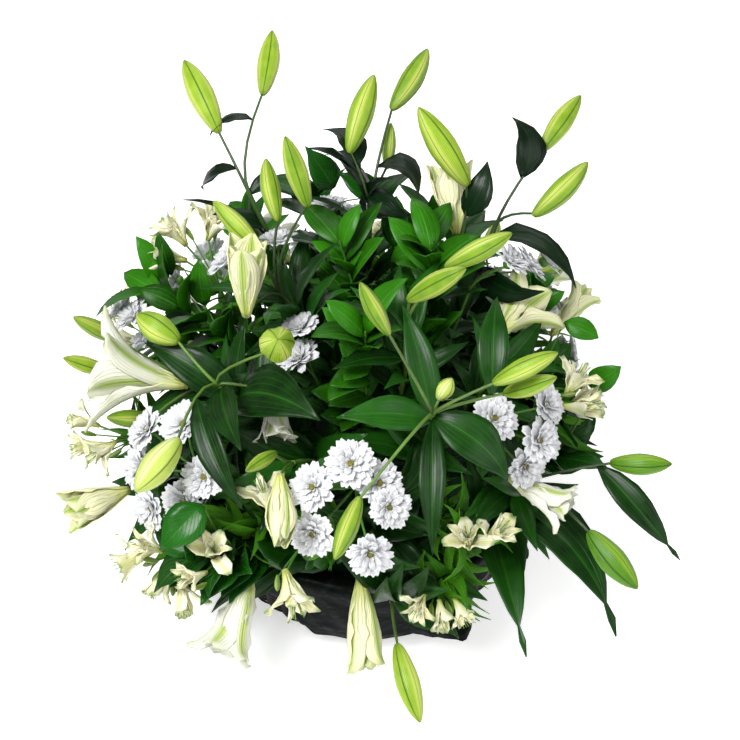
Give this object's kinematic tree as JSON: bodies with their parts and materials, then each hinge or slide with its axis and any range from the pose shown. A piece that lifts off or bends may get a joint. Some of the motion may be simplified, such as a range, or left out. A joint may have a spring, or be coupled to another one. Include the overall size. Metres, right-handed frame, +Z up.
{
  "type": "funeral flower basket",
  "caption": "Round funeral basket of white lilies, spray chrysanthemums and alstroemeria over dark green foliage, set in wet foam in a low black basket lined with film.",
  "frame": {"origin": "middle of the basket's underside, on the ground", "axes": "+Z up; -Y towards the front, the side seen in the picture"},
  "size_m": [0.705, 0.7762, 0.555],
  "materials": {
    "wicker": "satin",
    "film": "gloss",
    "foam": "matte",
    "lily": "satin",
    "chrysanthemum": "matte",
    "alstroemeria": "matte",
    "ruscus": "satin",
    "salal": "satin"
  },
  "bodies": {
    "root": {"basket_base": "wicker", "basket_wall": "wicker", "basket_border": "wicker", "film_liner": "film", "foam_block": "foam", "lily_stem_01": "lily", "lily_stem_02": "lily", "lily_stem_03": "lily", "lily_stem_04": "lily", "lily_stem_05": "lily", "lily_stem_06": "lily", "lily_stem_07": "lily", "lily_stem_08": "lily", "lily_stem_09": "lily", "lily_stem_10": "lily", "lily_stem_11": "lily", "lily_stem_12": "lily", "lily_stem_13": "lily", "lily_stem_14": "lily", "lily_stem_15": "lily", "lily_stem_16": "lily", "lily_stem_17": "lily", "lily_stem_18": "lily", "lily_stem_19": "lily", "lily_stem_20": "lily", "lily_stem_21": "lily", "chrysanthemum_spray_01": "chrysanthemum", "chrysanthemum_spray_02": "chrysanthemum", "chrysanthemum_spray_03": "chrysanthemum", "chrysanthemum_spray_04": "chrysanthemum", "chrysanthemum_spray_05": "chrysanthemum", "chrysanthemum_spray_06": "chrysanthemum", "chrysanthemum_spray_07": "chrysanthemum", "chrysanthemum_spray_08": "chrysanthemum", "chrysanthemum_spray_09": "chrysanthemum", "chrysanthemum_spray_10": "chrysanthemum", "chrysanthemum_spray_11": "chrysanthemum", "chrysanthemum_spray_12": "chrysanthemum", "alstroemeria_spray_01": "alstroemeria", "alstroemeria_spray_02": "alstroemeria", "alstroemeria_spray_03": "alstroemeria", "alstroemeria_spray_04": "alstroemeria", "alstroemeria_spray_05": "alstroemeria", "alstroemeria_spray_06": "alstroemeria", "alstroemeria_spray_07": "alstroemeria", "alstroemeria_spray_08": "alstroemeria", "alstroemeria_spray_09": "alstroemeria", "alstroemeria_spray_10": "alstroemeria", "alstroemeria_spray_11": "alstroemeria", "ruscus_stem_01": "ruscus", "ruscus_stem_02": "ruscus", "ruscus_stem_03": "ruscus", "ruscus_stem_04": "ruscus", "ruscus_stem_05": "ruscus", "ruscus_stem_06": "ruscus", "ruscus_stem_07": "ruscus", "ruscus_stem_08": "ruscus", "salal_stem_01": "salal", "salal_stem_02": "salal", "salal_stem_03": "salal"}
  },
  "joints": []
}
